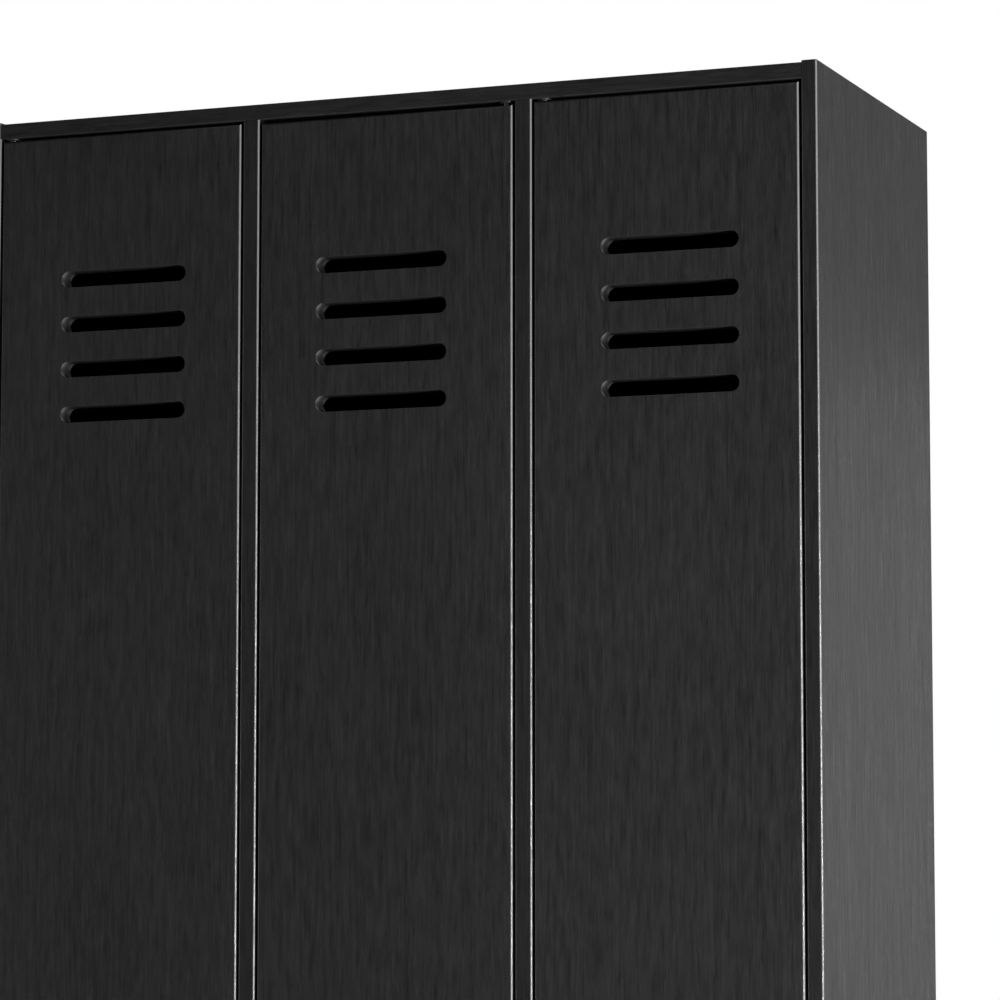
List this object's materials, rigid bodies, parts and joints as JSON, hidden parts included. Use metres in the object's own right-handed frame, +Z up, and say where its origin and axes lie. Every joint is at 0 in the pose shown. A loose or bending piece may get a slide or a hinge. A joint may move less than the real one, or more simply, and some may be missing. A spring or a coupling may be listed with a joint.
{
  "type": "locker cabinet",
  "caption": "Tall black wooden locker cabinet with inset doors that swing out, stadium-shaped vent slots, push latches, hanging rails and shelves inside.",
  "frame": {"origin": "centre of the footprint on the floor", "axes": "+Z up, the doors face -Y, +X to the right when looking at the doors"},
  "size_m": [1.018, 0.45, 1.95],
  "materials": {
    "black_board": "black-stained brushed oak veneer, satin",
    "black_door": "black-stained brushed oak veneer, satin",
    "back_board": "black-painted thin fibreboard, matte",
    "rail_chrome": "polished",
    "zinc_steel": "zinc plated",
    "cast_zinc": "die-cast, dull",
    "pivot_steel": "satin",
    "glide_plastic": "matte",
    "beech": "raw fluted dowel",
    "bush_nylon": "black nylon",
    "latch_plastic": "matte black",
    "plunger_plastic": "grey acetal, matte",
    "buffer_rubber": "matte"
  },
  "bodies": {
    "cabinet": {"side_panel_left": "black_board", "side_panel_right": "black_board", "divider_left": "black_board", "divider_right": "black_board", "top_panel": "black_board", "bottom_panel": "black_board", "plinth_front": "black_board", "plinth_back": "black_board", "back_panel_left": "back_board", "back_panel_middle": "back_board", "back_panel_right": "back_board", "wall_rail_left": "black_board", "wall_rail_middle": "black_board", "wall_rail_right": "black_board", "hat_shelf_left": "black_board", "hat_shelf_middle": "black_board", "shelf_right_1": "black_board", "shelf_right_2": "black_board", "shelf_right_3": "black_board", "shelf_right_4": "black_board", "clothes_rail_left": "rail_chrome", "clothes_rail_middle": "rail_chrome", "rail_sockets": "zinc_steel", "rail_socket_screws": "zinc_steel", "shelf_pins": "zinc_steel", "floor_glides": "glide_plastic", "joint_dowels": "beech", "cam_discs": "cast_zinc", "cam_bolts": "zinc_steel", "hinge_bushes": "bush_nylon", "latch_housings": "latch_plastic", "latch_screws": "zinc_steel", "door_stops": "black_board", "door_stop_screws": "zinc_steel", "door_buffers": "buffer_rubber"},
    "left_door": {"door_left": "black_door", "pivot_plates_left": "pivot_steel", "pivot_screws_left": "zinc_steel", "strike_plate_left": "pivot_steel"},
    "left_latch": {"latch_plunger_left": "plunger_plastic"},
    "middle_door": {"door_middle": "black_door", "pivot_plates_middle": "pivot_steel", "pivot_screws_middle": "zinc_steel", "strike_plate_middle": "pivot_steel"},
    "middle_latch": {"latch_plunger_middle": "plunger_plastic"},
    "right_door": {"door_right": "black_door", "pivot_plates_right": "pivot_steel", "pivot_screws_right": "zinc_steel", "strike_plate_right": "pivot_steel"},
    "right_latch": {"latch_plunger_right": "plunger_plastic"}
  },
  "joints": [
    {"name": "left_door_hinge", "type": "hinge", "parent": "cabinet", "child": "left_door", "pos_m": [-0.479, -0.216, 0.975], "axis": [0, 0, -1], "range_deg": [0, 90]},
    {"name": "middle_door_hinge", "type": "hinge", "parent": "cabinet", "child": "middle_door", "pos_m": [0.145, -0.216, 0.975], "axis": [0, 0, 1], "range_deg": [0, 90]},
    {"name": "right_door_hinge", "type": "hinge", "parent": "cabinet", "child": "right_door", "pos_m": [0.189, -0.216, 0.975], "axis": [0, 0, -1], "range_deg": [0, 90]},
    {"name": "left_latch_push", "type": "slide", "parent": "cabinet", "child": "left_latch", "axis": [0, 1, 0], "range_m": [0, 0.003], "stiffness_N_per_m": 60, "springref_m": -0.03},
    {"name": "middle_latch_push", "type": "slide", "parent": "cabinet", "child": "middle_latch", "axis": [0, 1, 0], "range_m": [0, 0.003], "stiffness_N_per_m": 60, "springref_m": -0.03},
    {"name": "right_latch_push", "type": "slide", "parent": "cabinet", "child": "right_latch", "axis": [0, 1, 0], "range_m": [0, 0.003], "stiffness_N_per_m": 60, "springref_m": -0.03}
  ]
}
